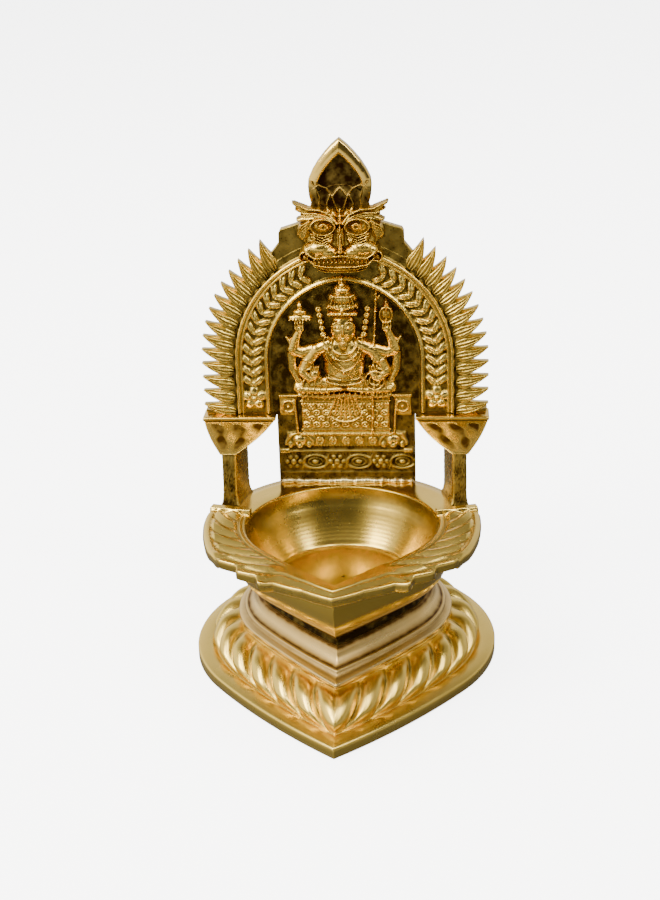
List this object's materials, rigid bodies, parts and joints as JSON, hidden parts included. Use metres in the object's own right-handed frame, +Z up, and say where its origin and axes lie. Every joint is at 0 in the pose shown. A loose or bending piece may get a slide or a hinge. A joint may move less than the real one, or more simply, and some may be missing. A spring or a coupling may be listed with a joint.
{
  "type": "oil lamp with figured back plate",
  "caption": "Low brass oil lamp: betel-leaf foot with gadroons, turned oil bowl with a pointed spout, and an arched back plate with a seated figure in relief.",
  "frame": {"origin": "middle of the foot's outline, on the surface it stands on", "axes": "+Z up, the spout points to -Y, the back plate stands at +Y, +X is the right-hand side seen from the spout"},
  "size_m": [0.1068, 0.1286, 0.1767],
  "materials": {
    "polished_brass": "polished cast brass, bright on the high places, brown in the hollows",
    "satin_brass": "smooth filed and buffed brass",
    "turned_brass": "lathe-turned inside, bright with fine rings",
    "sand_cast_brass": "sand-cast brass, fine grain, buffed on top",
    "braze": "solidified braze bead",
    "fastener_brass": "turned brass fastener, unpolished"
  },
  "bodies": {
    "root": {"foot_plinth": "polished_brass", "stepped_waist": "satin_brass", "oil_bowl": "turned_brass", "spout_collar": "sand_cast_brass", "left_pillar": "sand_cast_brass", "right_pillar": "sand_cast_brass", "left_corbel": "polished_brass", "right_corbel": "polished_brass", "back_plate": "sand_cast_brass", "seated_figure": "polished_brass", "guardian_mask": "polished_brass", "bud_finial": "polished_brass", "panel_braze": "braze", "centre_stud": "fastener_brass", "stud_washer": "fastener_brass", "stud_nut": "fastener_brass"}
  },
  "joints": []
}
